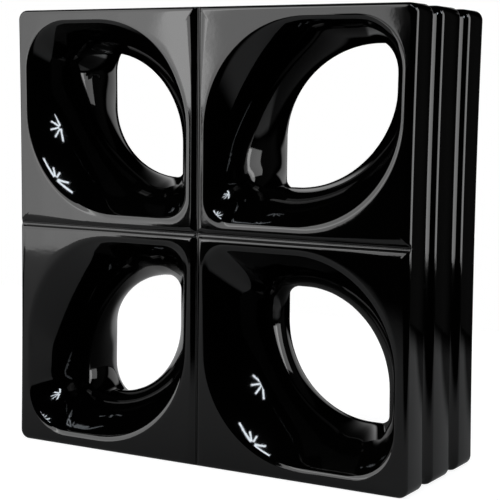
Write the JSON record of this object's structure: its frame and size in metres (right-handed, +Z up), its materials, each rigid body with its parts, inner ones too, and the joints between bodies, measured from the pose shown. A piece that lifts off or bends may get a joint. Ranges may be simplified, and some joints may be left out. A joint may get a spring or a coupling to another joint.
{
  "type": "ceramic ventilation block",
  "caption": "Square glazed ceramic wall block with a leaf-shaped opening through each quarter, a cross groove on both faces and ribbed edges.",
  "frame": {"origin": "centre of the bounding box at its bottom, on the surface that the block stands on", "axes": "+Z up the face, +Y from the front face to the back face, +X to the right as seen from the front"},
  "size_m": [0.25, 0.088, 0.25],
  "materials": {
    "glaze": "high-gloss black glaze"
  },
  "bodies": {
    "root": {"block": "glaze"}
  },
  "joints": []
}
